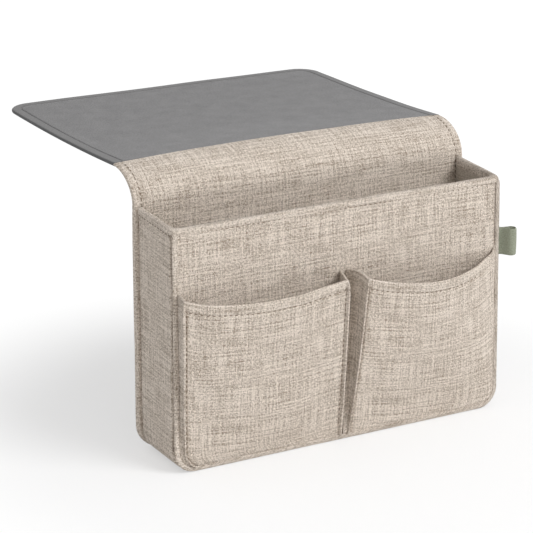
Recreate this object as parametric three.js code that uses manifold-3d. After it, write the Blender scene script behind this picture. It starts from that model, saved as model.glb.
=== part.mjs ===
// Bedside caddy: a boarded linen box with two pleated pockets, hung from a flap that lies under a mattress.
// Millimetres. +X is to the right, +Y to the back and +Z up. The origin is the middle of the box's underside.
import * as THREE from 'three';
import { mergeVertices } from 'three/addons/utils/BufferGeometryUtils.js';
import Module from 'manifold-3d';

const wasm = await Module();
wasm.setup();

// Sheet materials, and the clearance between pieces that lie against each other
const skin = 0.6;
const panelBoard = 2.4;
const wallBoard = 2.1;
const flapBoard = 1;
const pocketCloth = 1.2;
const gap = 0.3;

// Box
const boxWidth = 300;
const boxDepth = 60;
const frontRim = 202;
const backRim = 205;
const cornerRadius = 18;

// Seams and rim
const seamWidth = 3;
const seamProud = 1;
const seamCloth = 0.9;
const backOverhang = 3;
const rimTape = 1.2;

// Bend between the back panel and the flap
const bendReach = 36;
const bendRise = 27;

// Flap
const flapOverhang = 2.5;
const flapLength = 226;
const flapDrop = 4;
const flapCornerRadius = 15;
const flapNearRadius = 2;

// Pockets
const pocketHeight = 150;
const pocketDepth = 27.5;

// Side loop
const loopLength = 13.5;
const loopWidth = 23;
const loopBase = 134.5;
const loopWebbing = 1.2;
const loopEyeRadius = 3.2;
const loopEyeStart = 3;

// Angles of the side loop: its turn out of the box's width, and the half angle of its round end
const loopTurn = THREE.MathUtils.degToRad(35);
const loopArc = THREE.MathUtils.degToRad(105);

// How far a cutting tool reaches past what it cuts
const overrun = 20;

// Counts of flat steps in the round shapes
const arcSteps = 8;
const bendSteps = 14;
const pocketRows = 7;
const panelColumns = 16;
const pleatColumns = 4;

// Thickness of each boarded panel: a skin on both sides of a board
const layered = (board) => skin + gap + board + gap + skin;
const panelThickness = layered(panelBoard);
const wallThickness = layered(wallBoard);
const flapThickness = layered(flapBoard);

// Faces that the pieces are built from
const frontFace = -(boxDepth + panelThickness) / 2;
const backPanelFace = frontFace + boxDepth;
const rearFace = backPanelFace + panelThickness;
const halfBox = boxWidth / 2;
const halfBack = halfBox + backOverhang;
const halfFlap = halfBox + flapOverhang;
const backSeam = gap + seamCloth;

// The box's walls run from behind the front panel to the front edge of the back binding
const wallFront = frontFace + panelThickness + gap;
const wallBack = backPanelFace - backSeam - gap;

// Materials, one for each mesh
const finish = (color, roughness) => new THREE.MeshStandardMaterial({ color, roughness, metalness: 0 });
const linen = () => finish(0xcbbfb2, 0.95);
const lining = () => finish(0xb9ac9e, 0.95);
const greyboard = () => finish(0x9d948a, 0.9);
const suede = () => finish(0x808182, 0.8);
const gripCloth = () => finish(0x5d5e60, 0.9);
const webbing = () => finish(0x868f79, 0.85);

// Booleans on closed three.js geometries
function toSolid(geometry) {
  const bare = geometry.clone();
  bare.deleteAttribute('normal');
  bare.deleteAttribute('uv');
  const merged = mergeVertices(bare);
  return new wasm.Manifold(new wasm.Mesh({
    numProp: 3,
    vertProperties: new Float32Array(merged.attributes.position.array),
    triVerts: new Uint32Array(merged.index.array),
  }));
}

function toGeometry(solid) {
  const mesh = solid.getMesh();
  const geometry = new THREE.BufferGeometry();
  geometry.setAttribute('position', new THREE.BufferAttribute(mesh.vertProperties, mesh.numProp));
  geometry.setIndex(new THREE.BufferAttribute(mesh.triVerts, 1));
  geometry.computeVertexNormals();
  return geometry;
}

// Straight prisms. The shape's own axes are X and Z, Y and Z, or X and Y.
const extruded = (shape, depth) => new THREE.ExtrudeGeometry(shape, {
  depth,
  bevelEnabled: false,
  curveSegments: arcSteps,
});

function prismAlongY(shape, front, back) {
  return extruded(shape, back - front).rotateX(Math.PI / 2).translate(0, back, 0);
}

function prismAlongX(shape, left, right) {
  return extruded(shape, right - left).rotateY(Math.PI / 2).rotateX(Math.PI / 2).translate(left, 0, 0);
}

function prismAlongZ(shape, bottom, top) {
  return extruded(shape, top - bottom).translate(0, 0, bottom);
}

// Upright outline, square at the top and rounded at the two lower corners
function panelShape(halfWidth, bottom, top, radius) {
  const shape = new THREE.Shape();
  shape.moveTo(-halfWidth, top);
  shape.lineTo(-halfWidth, bottom + radius);
  shape.absarc(radius - halfWidth, bottom + radius, radius, Math.PI, 1.5 * Math.PI);
  shape.absarc(halfWidth - radius, bottom + radius, radius, 1.5 * Math.PI, 2 * Math.PI);
  shape.lineTo(halfWidth, top);
  return shape;
}

// The box's outline drawn in by an inset at its sides, its bottom and its lower corners
const boxShape = (inset, top) => panelShape(halfBox - inset, inset, top, cornerRadius - inset);

// The back panel's outline, which is wider than the box and covers its seam
const backShape = (inset, top) => panelShape(halfBack - inset, inset, top, cornerRadius + backOverhang - inset);

const rectangle = (left, right, near, far) => new THREE.Shape([
  new THREE.Vector2(left, near),
  new THREE.Vector2(right, near),
  new THREE.Vector2(right, far),
  new THREE.Vector2(left, far),
]);

// Everything below the sloping rim, lowered by a drop
function belowRim(drop) {
  const rise = (backRim - frontRim) / boxDepth * overrun;
  const section = new THREE.Shape([
    new THREE.Vector2(frontFace - overrun, -overrun),
    new THREE.Vector2(backPanelFace + overrun, -overrun),
    new THREE.Vector2(backPanelFace + overrun, backRim + rise - drop),
    new THREE.Vector2(frontFace - overrun, frontRim - rise - drop),
  ]);
  return toSolid(prismAlongX(section, -halfBox - overrun, halfBox + overrun));
}

const underRimTape = belowRim(rimTape + gap);

// U-shaped wall that follows the box's outline between two insets
function boxRing(outerInset, innerInset, front, back) {
  const outer = toSolid(prismAlongY(boxShape(outerInset, backRim + overrun), front, back));
  const inner = toSolid(prismAlongY(boxShape(innerInset, backRim + 2 * overrun), front - overrun, back + overrun));
  return outer.subtract(inner);
}

function addMesh(group, name, geometry, material) {
  const mesh = new THREE.Mesh(geometry, material);
  mesh.name = name;
  group.add(mesh);
  return mesh;
}

// Back panel: a board between two skins, with a seam binding over its side and bottom edges
function addBackPanel(group) {
  const top = backRim - gap;
  const layer = (front, thickness) => prismAlongY(backShape(backSeam, top), front, front + thickness);
  addMesh(group, 'back_panel_front_skin', layer(backPanelFace, skin), linen());
  addMesh(group, 'back_panel_board', layer(backPanelFace + skin + gap, panelBoard), greyboard());
  addMesh(group, 'back_panel_rear_skin', layer(rearFace - skin, skin), lining());
}

function addBackBinding(group) {
  const front = backPanelFace - backSeam;
  const back = rearFace + backSeam;
  const tall = backRim + overrun;
  const outer = toSolid(prismAlongY(backShape(0, tall), front, back));
  const middle = toSolid(prismAlongY(backShape(backOverhang - gap, tall + overrun), front - overrun, back + overrun));
  const channel = backShape(seamCloth, tall + overrun);
  const slot = toSolid(prismAlongY(channel, backPanelFace - gap, rearFace + gap));
  const top = toSolid(prismAlongZ(rectangle(-halfBack, halfBack, front, back), 0, backRim - gap));
  addMesh(group, 'back_seam_binding', toGeometry(outer.subtract(middle).subtract(slot).intersect(top)), linen());
}

// Front panel: the same layers inside the front seam
function addFrontPanel(group) {
  const outline = boxShape(seamWidth + gap, backRim);
  const layer = (front, thickness) => {
    const slab = toSolid(prismAlongY(outline, front, front + thickness));
    return toGeometry(slab.intersect(underRimTape));
  };
  addMesh(group, 'front_panel_skin', layer(frontFace, skin), linen());
  addMesh(group, 'front_panel_board', layer(frontFace + skin + gap, panelBoard), greyboard());
  addMesh(group, 'front_panel_lining', layer(frontFace + panelThickness - skin, skin), lining());
}

function addFrontBinding(group) {
  const ring = boxRing(0, seamWidth, frontFace - seamProud, frontFace + panelThickness);
  addMesh(group, 'front_seam_binding', toGeometry(ring.intersect(underRimTape)), linen());
}

// Gusset: one strip of cloth down the left side, under the bottom and up the right side
function addGusset(group) {
  const wall = (outerInset, innerInset) => {
    const ring = boxRing(outerInset, innerInset, wallFront, wallBack);
    return toGeometry(ring.intersect(underRimTape));
  };
  addMesh(group, 'gusset_skin', wall(0, skin), linen());
  addMesh(group, 'gusset_lining', wall(wallThickness - skin, wallThickness), lining());

  const board = skin + gap;
  const sideShape = new THREE.Shape([
    new THREE.Vector2(wallFront, cornerRadius),
    new THREE.Vector2(wallBack, cornerRadius),
    new THREE.Vector2(wallBack, backRim + overrun),
    new THREE.Vector2(wallFront, backRim + overrun),
  ]);
  for (const [name, side] of [['left_side_board', -1], ['right_side_board', 1]]) {
    const faces = [side * (halfBox - board - wallBoard), side * (halfBox - board)].sort((a, b) => a - b);
    const slab = toSolid(prismAlongX(sideShape, ...faces));
    addMesh(group, name, toGeometry(slab.intersect(underRimTape)), greyboard());
  }
  const floor = rectangle(cornerRadius - halfBox, halfBox - cornerRadius, wallFront, wallBack);
  addMesh(group, 'bottom_board', prismAlongZ(floor, board, board + wallBoard), greyboard());
}

// Tape folded over the top edges of the two sides and the front
function addRimBinding(group) {
  const inside = rectangle(
    wallThickness - halfBox,
    halfBox - wallThickness,
    frontFace + panelThickness,
    wallBack + overrun,
  );
  const outside = rectangle(-halfBox, halfBox, frontFace, wallBack);
  const ring = toSolid(prismAlongZ(outside, 0, backRim + overrun))
    .subtract(toSolid(prismAlongZ(inside, -overrun, backRim + 2 * overrun)));
  const tape = ring.intersect(belowRim(0)).subtract(belowRim(rimTape));
  addMesh(group, 'rim_binding', toGeometry(tape), linen());
}

// Pockets. Each rim point is across, out and up: shares of half the box's width, of the pocket depth past the
// sewn edge, and of the pocket height. A pleat runs from the corner where it is sewn down to the panel's edge.
const pocketRimShares = {
  left_pocket: {
    left_pleat: [[-0.9933, 0, 1], [-0.9833, 0.455, 0.983]],
    panel: [
      [-0.9833, 0.455, 0.983],
      [-0.907, 0.6, 0.96],
      [-0.813, 0.78, 0.947],
      [-0.593, 0.89, 0.93],
      [-0.35, 0.855, 0.93],
      [-0.187, 0.71, 0.94],
      [-0.053, 0.545, 0.95],
    ],
    right_pleat: [[-0.053, 0.545, 0.95], [-0.008, 0, 0.96]],
  },
  right_pocket: {
    left_pleat: [[0.008, 0, 0.96], [0.073, 0.636, 0.949]],
    panel: [
      [0.073, 0.636, 0.949],
      [0.14, 0.78, 0.927],
      [0.26, 0.927, 0.898],
      [0.37, 1, 0.882],
      [0.507, 0.964, 0.867],
      [0.64, 0.82, 0.867],
      [0.787, 0.527, 0.88],
    ],
    right_pleat: [[0.787, 0.527, 0.88], [0.88, 0.31, 0.9], [0.9687, 0.127, 0.92], [0.9933, 0, 0.947]],
  },
};

// Share of the pocket's height below which the pleats are folded shut, the belly of its upright curve, and
// the step along the cloth over which its slope is measured
const pleatFootShare = 0.15;
const bellyShare = 0.9;
const slopeShare = 0.001;
const pocketBase = seamWidth + gap;
const pocketFoot = seamProud + gap + pocketCloth;

// How far the box's rounded lower corner lies inside its side at a height
function cornerInset(height) {
  const below = Math.max(cornerRadius - height, 0);
  return cornerRadius - Math.sqrt(cornerRadius ** 2 - below ** 2);
}

const rimPoint = ([across, out, up]) =>
  new THREE.Vector3(across * halfBox, pocketFoot + out * pocketDepth, up * pocketHeight);

// One strip of a pocket: the curve of its rim, and where the rim's two ends come down to along the foot
function pocketStrip(shares, footStart, footEnd) {
  const curve = new THREE.CatmullRomCurve3(shares.map(rimPoint), false, 'centripetal');
  return { curve, footStart, footEnd };
}

// Point on a strip's outer face: out from the front of the box, and further out towards the rim
function pocketPoint({ curve, footStart, footEnd }, across, up) {
  const rim = curve.getPoint(across);
  const [first, last] = [curve.points[0].x, curve.points.at(-1).x];
  const foot = THREE.MathUtils.mapLinear(rim.x, first, last, footStart, footEnd);
  const opening = up ** bellyShare;
  const height = pocketBase + (rim.z - pocketBase) * up;
  const out = THREE.MathUtils.lerp(pocketFoot, rim.y, opening);
  const side = THREE.MathUtils.lerp(foot, rim.x, opening);
  return new THREE.Vector3(side * (1 - cornerInset(height) / halfBox), frontFace - out, height);
}

// Closed sheet of pocket cloth from a lowest share of the height to the rim. An end that meets the panel's edge
// is held off it by the cloth's thickness and the gap.
function clothSheet(strip, columns, lowest, heldOffStart, heldOffEnd) {
  const pointAt = (across, up) => pocketPoint(strip, across, lowest + (1 - lowest) * up);
  const outer = [];
  const inner = [];
  for (let row = 0; row <= pocketRows; row += 1) {
    const up = row / pocketRows;
    const heldOff = (pocketCloth + gap) / pointAt(0, up).distanceTo(pointAt(1, up));
    const start = heldOffStart ? heldOff : 0;
    const end = heldOffEnd ? 1 - heldOff : 1;
    for (let column = 0; column <= columns; column += 1) {
      const across = THREE.MathUtils.lerp(start, end, column / columns);
      const point = pointAt(across, up);
      const along = pointAt(Math.min(across + slopeShare, 1), up)
        .sub(pointAt(Math.max(across - slopeShare, 0), up));
      const upward = pointAt(across, Math.min(up + slopeShare, 1))
        .sub(pointAt(across, Math.max(up - slopeShare, 0)));
      outer.push(point);
      inner.push(point.clone().addScaledVector(along.cross(upward).normalize(), -pocketCloth));
    }
  }
  return closedSheet(outer, inner, columns, pocketRows);
}

// Closed body between two grids of points, the first grid facing out
function closedSheet(outer, inner, columns, rows) {
  const width = columns + 1;
  const shift = outer.length;
  const triangles = [];
  const quad = (a, b, c, d) => triangles.push(a, b, c, a, c, d);
  for (let row = 0; row < rows; row += 1) {
    for (let column = 0; column < columns; column += 1) {
      const a = row * width + column;
      quad(a, a + 1, a + 1 + width, a + width);
      quad(shift + a, shift + a + width, shift + a + 1 + width, shift + a + 1);
    }
  }
  for (let column = 0; column < columns; column += 1) {
    const top = rows * width + column;
    quad(column, shift + column, shift + column + 1, column + 1);
    quad(top, top + 1, shift + top + 1, shift + top);
  }
  for (let row = 0; row < rows; row += 1) {
    const left = row * width;
    const right = left + columns;
    quad(left, left + width, shift + left + width, shift + left);
    quad(right, shift + right, shift + right + width, right + width);
  }
  const geometry = new THREE.BufferGeometry().setFromPoints([...outer, ...inner]);
  geometry.setIndex(triangles);
  geometry.computeVertexNormals();
  return geometry;
}

function addPocket(group, name) {
  const shares = pocketRimShares[name];
  const leftCorner = rimPoint(shares.left_pleat[0]).x;
  const rightCorner = rimPoint(shares.right_pleat.at(-1)).x;
  const panel = pocketStrip(shares.panel, leftCorner, rightCorner);
  const leftPleat = pocketStrip(shares.left_pleat, leftCorner, leftCorner);
  const rightPleat = pocketStrip(shares.right_pleat, rightCorner, rightCorner);
  const leftSheet = clothSheet(leftPleat, pleatColumns, pleatFootShare, false, true);
  const rightSheet = clothSheet(rightPleat, pleatColumns, pleatFootShare, true, false);
  addMesh(group, `${name}_panel`, clothSheet(panel, panelColumns, 0, false, false), linen());
  addMesh(group, `${name}_left_pleat`, leftSheet, linen());
  addMesh(group, `${name}_right_pleat`, rightSheet, linen());
}

// Bend: an outer skin and a lining that turn from upright to level without a board between them
function bendPoint(turn, inset) {
  const angle = turn * Math.PI / 2;
  const outward = new THREE.Vector2(-Math.cos(angle) / bendReach, Math.sin(angle) / bendRise).normalize();
  const centre = new THREE.Vector2(backPanelFace + bendReach, backRim);
  const face = new THREE.Vector2(-bendReach * Math.cos(angle), bendRise * Math.sin(angle)).add(centre);
  return face.addScaledVector(outward, -inset);
}

function bendLayer(insetAt) {
  const turns = Array.from({ length: bendSteps + 1 }, (_, step) => step / bendSteps);
  const outer = turns.map((turn) => bendPoint(turn, insetAt(turn)));
  const inner = turns.map((turn) => bendPoint(turn, insetAt(turn) + skin)).reverse();
  return prismAlongX(new THREE.Shape([...outer, ...inner]), backSeam - halfBack, halfBack - backSeam);
}

function addBend(group) {
  const under = (turn) => THREE.MathUtils.lerp(panelThickness, flapThickness, turn) - skin;
  addMesh(group, 'bend_skin', bendLayer(() => 0), linen());
  addMesh(group, 'bend_lining', bendLayer(under), lining());
}

// Flap: its top skin is turned down over the edges of the board and the grip cloth
function flapShape(inset) {
  const half = halfFlap - inset;
  const near = gap + inset;
  const far = flapLength - inset;
  const nearRadius = Math.max(flapNearRadius - inset, gap);
  const farRadius = flapCornerRadius - inset;
  const shape = new THREE.Shape();
  shape.absarc(nearRadius - half, near + nearRadius, nearRadius, Math.PI, 1.5 * Math.PI);
  shape.absarc(half - nearRadius, near + nearRadius, nearRadius, 1.5 * Math.PI, 2 * Math.PI);
  shape.absarc(half - farRadius, far - farRadius, farRadius, 0, Math.PI / 2);
  shape.absarc(farRadius - half, far - farRadius, farRadius, Math.PI / 2, Math.PI);
  return shape;
}

function addFlap(group) {
  const flap = new THREE.Group();
  flap.position.set(0, backPanelFace + bendReach, backRim + bendRise);
  flap.rotation.x = -Math.atan2(flapDrop, flapLength);
  group.add(flap);

  const tray = toSolid(prismAlongZ(flapShape(0), -flapThickness, 0))
    .subtract(toSolid(prismAlongZ(flapShape(skin), -flapThickness - overrun, -skin)));
  const boardTop = -skin - gap;
  const filling = flapShape(skin + gap);
  addMesh(flap, 'flap_top_skin', toGeometry(tray), suede());
  addMesh(flap, 'flap_board', prismAlongZ(filling, boardTop - flapBoard, boardTop), greyboard());
  addMesh(flap, 'flap_grip_skin', prismAlongZ(filling, -flapThickness, skin - flapThickness), gripCloth());
}

// Side loop: webbing folded in two, pinched where it is sewn into the seam and round at its end
function loopShape(radius, start, startHalf) {
  const centre = loopLength - loopEyeRadius - loopWebbing;
  const shape = new THREE.Shape();
  shape.moveTo(start, startHalf);
  shape.lineTo(start, -startHalf);
  shape.absarc(centre, 0, radius, -loopArc, loopArc);
  return shape;
}

function addSideLoop(group) {
  const outline = loopShape(loopEyeRadius + loopWebbing, 0, loopWebbing);
  outline.holes.push(loopShape(loopEyeRadius, loopEyeStart, gap / 2));
  const loop = addMesh(group, 'side_loop', extruded(outline, loopWidth), webbing());
  loop.position.set(halfBox + loopWebbing + gap, frontFace, loopBase);
  loop.rotation.z = -loopTurn;
}

const caddy = new THREE.Group();
addBackPanel(caddy);
addBackBinding(caddy);
addFrontPanel(caddy);
addFrontBinding(caddy);
addGusset(caddy);
addRimBinding(caddy);
addPocket(caddy, 'left_pocket');
addPocket(caddy, 'right_pocket');
addBend(caddy);
addFlap(caddy);
addSideLoop(caddy);

export default caddy;
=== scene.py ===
"""Looks of a bedside caddy of boarded linen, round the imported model. Metres, in the model's own frame."""
from math import copysign, cos, exp, hypot, pi, radians, sin, sqrt

import bpy
from mathutils import Matrix, Vector, noise


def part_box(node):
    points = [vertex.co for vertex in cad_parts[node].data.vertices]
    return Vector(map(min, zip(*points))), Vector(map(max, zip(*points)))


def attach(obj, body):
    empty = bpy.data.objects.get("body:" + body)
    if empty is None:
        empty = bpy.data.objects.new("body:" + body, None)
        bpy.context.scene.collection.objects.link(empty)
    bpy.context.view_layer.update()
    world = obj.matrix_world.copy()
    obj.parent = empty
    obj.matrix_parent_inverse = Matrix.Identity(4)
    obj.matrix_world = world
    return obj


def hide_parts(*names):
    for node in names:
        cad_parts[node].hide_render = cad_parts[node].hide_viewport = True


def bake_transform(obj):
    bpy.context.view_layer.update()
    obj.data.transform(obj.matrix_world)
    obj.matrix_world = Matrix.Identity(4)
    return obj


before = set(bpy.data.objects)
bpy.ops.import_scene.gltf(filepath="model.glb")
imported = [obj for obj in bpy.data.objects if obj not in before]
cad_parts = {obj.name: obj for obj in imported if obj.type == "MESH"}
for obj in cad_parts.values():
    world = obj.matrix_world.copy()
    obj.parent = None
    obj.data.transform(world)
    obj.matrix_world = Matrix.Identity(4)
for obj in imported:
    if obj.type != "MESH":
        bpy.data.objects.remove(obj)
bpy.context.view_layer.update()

MM = 0.001


def mm(*values):
    """Millimetres as metres."""
    return [value * MM for value in values]


# Camera at the photograph's viewing angle. The photograph is taken as 533 pixels wide and tall.
PHOTO_PIXELS = 533
FOCAL_PIXELS = 2272.9
SENSOR_WIDTH = 36.0
CAMERA_AZIMUTH = radians(-28.465)
CAMERA_ELEVATION = radians(18.252)
CAMERA_ROLL = radians(-0.45)
CAMERA_DISTANCE = 1.8124
CAMERA_TARGET = Vector((-0.0519, -0.0021, 0.1482))


def add_camera():
    level = cos(CAMERA_ELEVATION)
    side, rear = sin(CAMERA_AZIMUTH) * level, -cos(CAMERA_AZIMUTH) * level
    back = Vector((side, rear, sin(CAMERA_ELEVATION)))
    right = Vector((0, 0, 1)).cross(back).normalized()
    up = back.cross(right)
    c, s = cos(CAMERA_ROLL), sin(CAMERA_ROLL)
    axes = Matrix((right * c + up * s, up * c - right * s, back)).transposed().to_4x4()
    data = bpy.data.cameras.new("camera")
    data.sensor_width = SENSOR_WIDTH
    data.lens = FOCAL_PIXELS * SENSOR_WIDTH / PHOTO_PIXELS
    camera = bpy.data.objects.new("camera", data)
    camera.matrix_world = Matrix.Translation(CAMERA_TARGET + back * CAMERA_DISTANCE) @ axes
    bpy.context.scene.collection.objects.link(camera)
    bpy.context.scene.camera = camera


add_camera()

# Sizes of the solids that the cloth goes over
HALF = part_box("gusset_skin")[1].x
HALF_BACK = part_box("back_seam_binding")[1].x
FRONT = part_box("front_panel_skin")[0].y
INNER_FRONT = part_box("front_panel_lining")[1].y
WALL_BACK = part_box("gusset_skin")[1].y
BACK_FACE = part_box("back_panel_front_skin")[0].y
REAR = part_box("back_panel_rear_skin")[1].y
RIM_TAPE = 1.2 * MM
FRONT_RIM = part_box("rim_binding")[0].z + RIM_TAPE
BACK_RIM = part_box("bend_skin")[0].z
RIM_SLOPE = (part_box("rim_binding")[1].z - FRONT_RIM) / (WALL_BACK - FRONT)
BEND_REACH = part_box("bend_skin")[1].y - BACK_FACE
BEND_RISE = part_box("bend_skin")[1].z - BACK_RIM
HALF_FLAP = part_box("flap_top_skin")[1].x
FLAP_NEAR = BACK_FACE + BEND_REACH
FLAP_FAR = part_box("flap_top_skin")[1].y
FLAP_TOP = BACK_RIM + BEND_RISE
FLAP_DROP = 4 * MM
FLAP_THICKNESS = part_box("flap_top_skin")[1].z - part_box("flap_top_skin")[0].z - FLAP_DROP
PANEL_THICKNESS = REAR - BACK_FACE
LINING_CLOTH = 0.6 * MM
WALL_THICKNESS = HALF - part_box("gusset_lining")[1].x + LINING_CLOTH
CORNER = 18 * MM
BACK_CORNER = CORNER + HALF_BACK - HALF


def rim_height(y):
    return FRONT_RIM + RIM_SLOPE * (y - FRONT)


# Stitching, shared by every sewn row
STITCH_PITCH = 4.6 * MM
STITCH_LENGTH = 3.4 * MM
THREAD_RADIUS = 0.34 * MM
GROOVE_WIDTH = 0.9 * MM
GROOVE_DEPTH = 0.45 * MM
GROOVE_SAMPLES = mm(-2.2, -1.3, -0.75, -0.35, 0, 0.35, 0.75, 1.3, 2.2)


# Colours, as linear light
def srgb(red, green, blue):
    return tuple((c / 255) ** 2.2 for c in (red, green, blue)) + (1.0,)


LINEN_PALE = srgb(252, 240, 227)
LINEN_DARK = srgb(144, 126, 107)
# Lining: the linen's colours made darker, as painted shade for the faces inside the box and under the bend
LINING_SHADED_PALE = srgb(220, 209, 195)
LINING_SHADED_DARK = srgb(158, 143, 126)
# Thread darker than the cloth: partly its own colour, partly painted shade of the sunk stitches and their
# holes
THREAD_AND_HOLE_SHADE_COLOUR = srgb(120, 103, 85)
SUEDE_PALE = srgb(121, 120, 120)
SUEDE_DARK = srgb(88, 87, 88)
SUEDE_STRIP_PALE = srgb(110, 109, 109)
SUEDE_STRIP_DARK = srgb(97, 96, 96)
# Painted shade for the flap's rounded edge, which turns away from the light
SUEDE_EDGE_SHADE = srgb(78, 78, 79)
GRIP_PALE = srgb(104, 104, 105)
GRIP_DARK = srgb(70, 70, 71)
SAGE_PALE = srgb(165, 169, 150)
SAGE_DARK = srgb(132, 138, 117)
BOARD_PALE = srgb(166, 157, 147)
BOARD_DARK = srgb(128, 118, 108)
WHITE = (1.0, 1.0, 1.0, 1.0)


# Distance of the flap's sewn line from its edge
FLAP_GROOVE_INSET = 8.5 * MM


class Nodes:
    """A node tree, with short ways to add a node and link its inputs."""

    def __init__(self, tree):
        self.tree = tree

    def add(self, kind, inputs=(), **settings):
        node = self.tree.nodes.new("ShaderNode" + kind)
        for key, value in settings.items():
            setattr(node, key, value)
        for key, value in dict(inputs).items():
            if isinstance(value, bpy.types.NodeSocket):
                self.tree.links.new(value, node.inputs[key])
            else:
                node.inputs[key].default_value = value
        return node

    def math(self, operation, first, second=0.0, third=0.0):
        return self.add("Math", {0: first, 1: second, 2: third}, operation=operation).outputs[0]

    def times(self, value, factor, more=0.0):
        """The value times a factor, and more."""
        return self.math("MULTIPLY_ADD", value, factor, more)

    def vector(self, operation, *values):
        return self.add("VectorMath", dict(enumerate(values)), operation=operation).outputs

    def noise(self, vector, scale=1.0, detail=2.0, roughness=0.5, output="Fac"):
        inputs = {"Vector": vector, "Scale": scale, "Detail": detail, "Roughness": roughness}
        return self.add("TexNoise", inputs).outputs[output]

    def streaks(self, vector, across, along, detail=2.0):
        """Noise with a number of cells per metre across and along the cloth."""
        stretched = self.add("Mapping", {"Vector": vector, "Scale": (across, along, 1.0)})
        return self.noise(stretched.outputs[0], detail=detail)

    def ramp(self, value, low, high):
        """The value spread from 0 at low to 1 at high."""
        inputs = {"Value": value, "From Min": low, "From Max": high}
        return self.add("MapRange", inputs, interpolation_type="SMOOTHSTEP").outputs["Result"]

    def mix(self, share, first, second):
        return self.add("Mix", {0: share, 6: first, 7: second}, data_type="RGBA").outputs[2]

    def seen(self):
        """1 where the camera sees a surface, also in a reflection or through glass."""
        rays = self.add("LightPath").outputs
        bent = self.math("MAXIMUM", rays["Is Glossy Ray"], rays["Is Transmission Ray"])
        return self.math("MAXIMUM", rays["Is Camera Ray"], bent)

    def output(self, name, share, first, second):
        """Shows the first shader, and the second by a share of it."""
        blend = self.add("MixShader", {0: share, 1: first.outputs[0], 2: second.outputs[0]})
        self.tree.links.new(blend.outputs[0], self.tree.nodes[name].inputs["Surface"])


class Surface(Nodes):
    """The node tree of a new material."""

    def __init__(self, name, roughness, sheen=0.0):
        self.material = bpy.data.materials.new(name)
        self.material.use_nodes = True
        super().__init__(self.material.node_tree)
        self.shader = self.tree.nodes["Principled BSDF"]
        values = {"Roughness": roughness, "Sheen Weight": sheen}
        for key, value in {**values, "Specular IOR Level": 0.25, "Sheen Roughness": 0.5}.items():
            self.shader.inputs[key].default_value = value

    def finish(self, colour, height, distance, strength=1.0):
        """Links a colour and a bump to the shader, and gives the material."""
        bump = self.add("Bump", {"Height": height, "Distance": distance, "Strength": strength})
        self.tree.links.new(colour, self.shader.inputs["Base Color"])
        self.tree.links.new(bump.outputs[0], self.shader.inputs["Normal"])
        return self.material


# Cells per metre of the weave's wobble, slubs (across and along a thread), fibres and patches
WOBBLE_CELLS = 120.0
SLUB_CELLS, SLUB_RUN_UPRIGHT, SLUB_RUN_LEVEL = 680.0, 30.0, 22.0
FIBRE_CELLS = 1300.0
PATCH_CELLS = 70.0
# What each of them, and the knots, adds to a thread's tone
KNOT_TONE, SLUB_TONE_UPRIGHT, SLUB_TONE_LEVEL, FIBRE_TONE, PATCH_TONE = 0.75, 0.4, 0.46, 0.7, 0.1


def woven(name, pale, dark, pitch, slub=1.0):
    """Plain weave in the cloth's own coordinates: each thread has its own tone, which drifts along it."""
    nodes = Surface(name, 0.92, 0.15)
    flat = nodes.add("UVMap", uv_map="cloth").outputs[0]
    wobble = nodes.noise(flat, WOBBLE_CELLS, 1.0, output="Color")
    bent = nodes.vector("SUBTRACT", wobble, (0.5, 0.5, 0.5))[0]
    cloth = nodes.vector("MULTIPLY_ADD", bent, (pitch * 0.9,) * 3, flat)[0]
    split = nodes.add("SeparateXYZ", {0: cloth}).outputs
    threads = [nodes.math("MULTIPLY", split[axis], 1 / pitch) for axis in (0, 1)]
    index = [nodes.math("FLOOR", value) for value in threads]
    shares = [nodes.math("FRACT", value) for value in threads]
    profile = [nodes.math("SINE", nodes.math("MULTIPLY", share, pi)) for share in shares]
    over = nodes.math("ABSOLUTE", nodes.math("MODULO", nodes.math("ADD", *index), 2.0))
    upright = nodes.math("MULTIPLY", profile[0], nodes.times(over, 0.7, 0.3))
    level = nodes.math("MULTIPLY", profile[1], nodes.times(over, -0.7, 1.0))
    height = nodes.math("MAXIMUM", upright, level)
    # Tones: short lengths of thread, slubs that run on over several crossings, and fine fibres
    knot_upright = nodes.streaks(cloth, 0.9 / pitch, 0.5 / pitch, 1.0)
    knot_level = nodes.streaks(cloth, 0.5 / pitch, 0.9 / pitch, 1.0)
    knot = nodes.mix(nodes.math("GREATER_THAN", upright, level), knot_level, knot_upright)
    fibre = nodes.noise(cloth, FIBRE_CELLS, roughness=0.7)
    slub_upright = nodes.streaks(cloth, SLUB_CELLS, SLUB_RUN_UPRIGHT)
    slub_level = nodes.streaks(cloth, SLUB_RUN_LEVEL, SLUB_CELLS)
    total = nodes.times(slub_upright, SLUB_TONE_UPRIGHT * slub, nodes.math("MULTIPLY", knot, KNOT_TONE))
    total = nodes.times(slub_level, SLUB_TONE_LEVEL * slub, total)
    total = nodes.times(fibre, FIBRE_TONE, total)
    total = nodes.times(nodes.noise(cloth, PATCH_CELLS), PATCH_TONE, total)
    slubs = slub * (SLUB_TONE_UPRIGHT + SLUB_TONE_LEVEL)
    middle = 0.5 * (KNOT_TONE + FIBRE_TONE + PATCH_TONE + slubs)
    light = nodes.ramp(total, middle - 0.25, middle + 0.18)
    # Painted shade: the weave is coloured darker where it lies low, in the hollows between threads
    tone_and_hollow_shade = nodes.math("MULTIPLY", light, nodes.times(nodes.ramp(height, 0.15, 0.75), 0.4, 0.6))
    raised = nodes.times(light, 0.35, nodes.times(fibre, 0.3, height))
    return nodes.finish(nodes.mix(tone_and_hollow_shade, dark, pale), raised, pitch * 0.4)


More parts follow.
